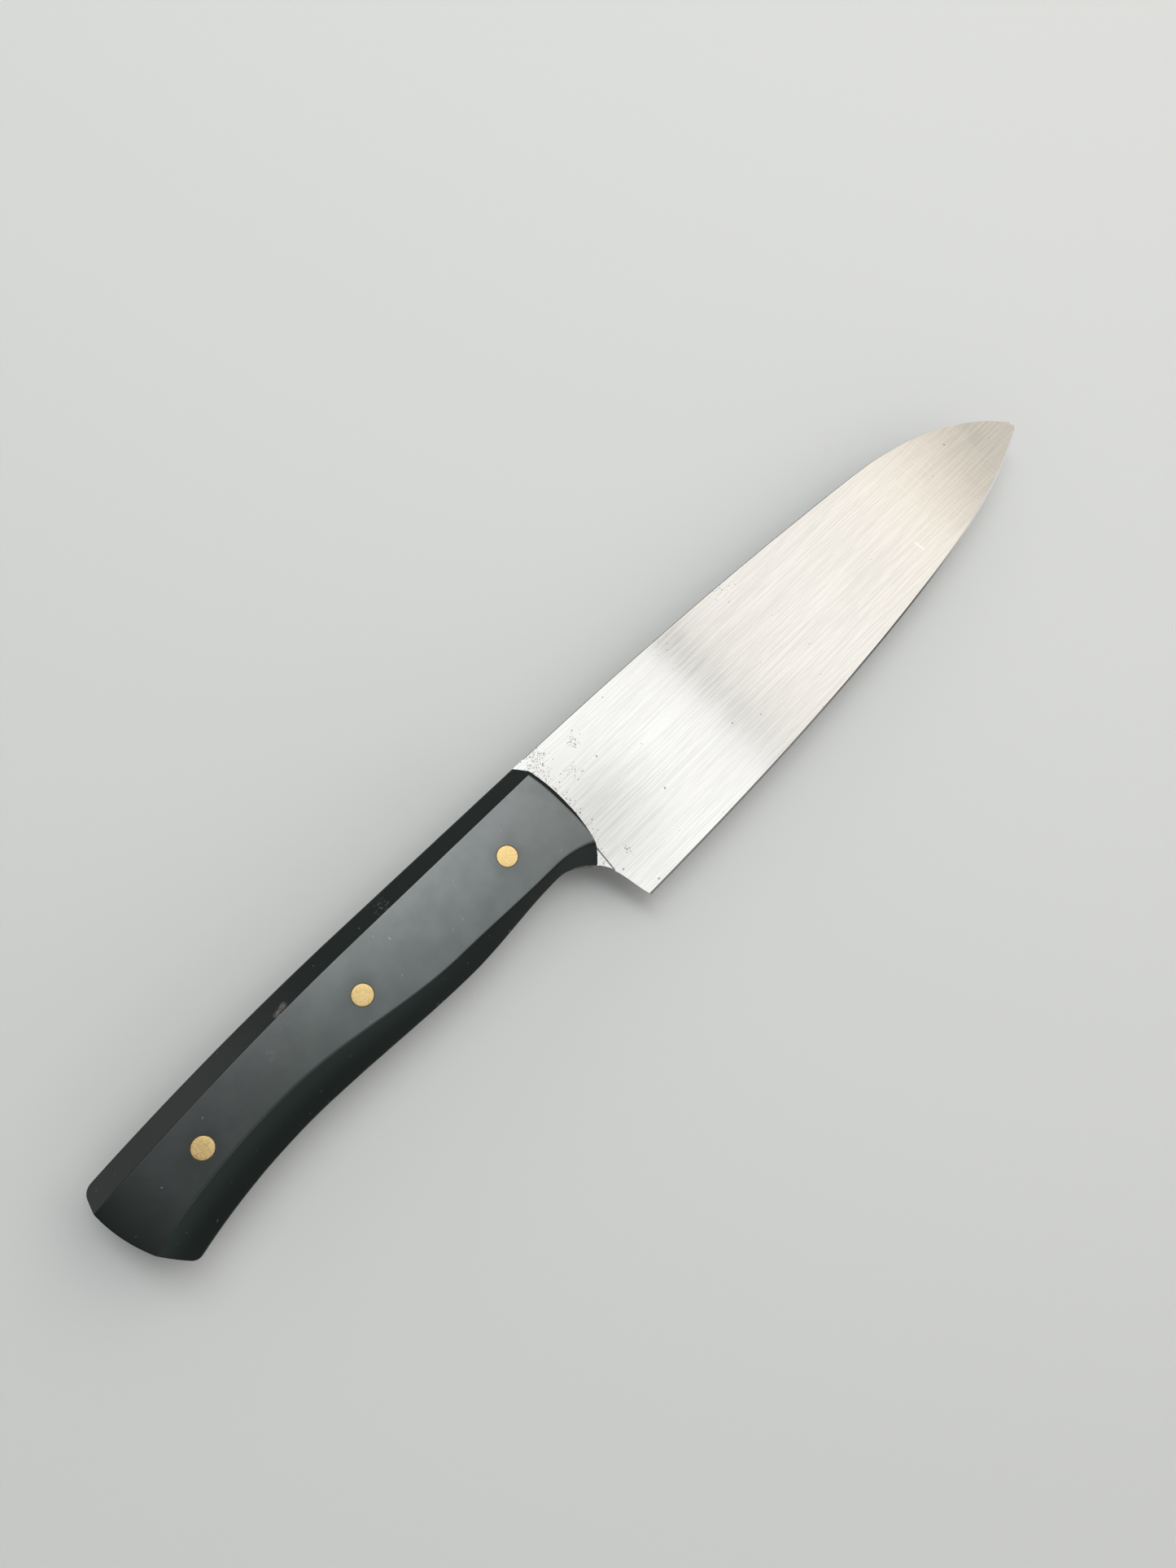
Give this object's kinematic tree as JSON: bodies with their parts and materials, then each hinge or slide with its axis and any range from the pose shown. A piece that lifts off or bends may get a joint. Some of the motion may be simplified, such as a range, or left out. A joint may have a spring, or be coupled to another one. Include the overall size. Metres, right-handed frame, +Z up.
{
  "type": "chef knife",
  "caption": "Full-tang chef knife: flat-ground satin steel blade with a dropped heel and a gently curved edge, and faceted black laminate scales held by flush brass pins.",
  "frame": {"origin": "below the middle of the knife's box, on the plane that the left scale's flat rests on", "axes": "+X along the knife to the tip, +Y towards the spine, +Z up, out of the right side of the blade"},
  "size_m": [0.2914, 0.0428, 0.0187],
  "materials": {
    "blade_steel": "satin, with fine grain lines along the blade and a few small pits by the handle",
    "scale_laminate": "matte charcoal glass-fibre laminate with crisp facet edges",
    "pin_brass": "sanded flush, matte, with fine speckle",
    "cured_epoxy": "thin dark brown film"
  },
  "bodies": {
    "root": {"blade": "blade_steel", "right_scale": "scale_laminate", "left_scale": "scale_laminate", "front_pin": "pin_brass", "middle_pin": "pin_brass", "rear_pin": "pin_brass", "right_glue_film": "cured_epoxy", "left_glue_film": "cured_epoxy"}
  },
  "joints": []
}
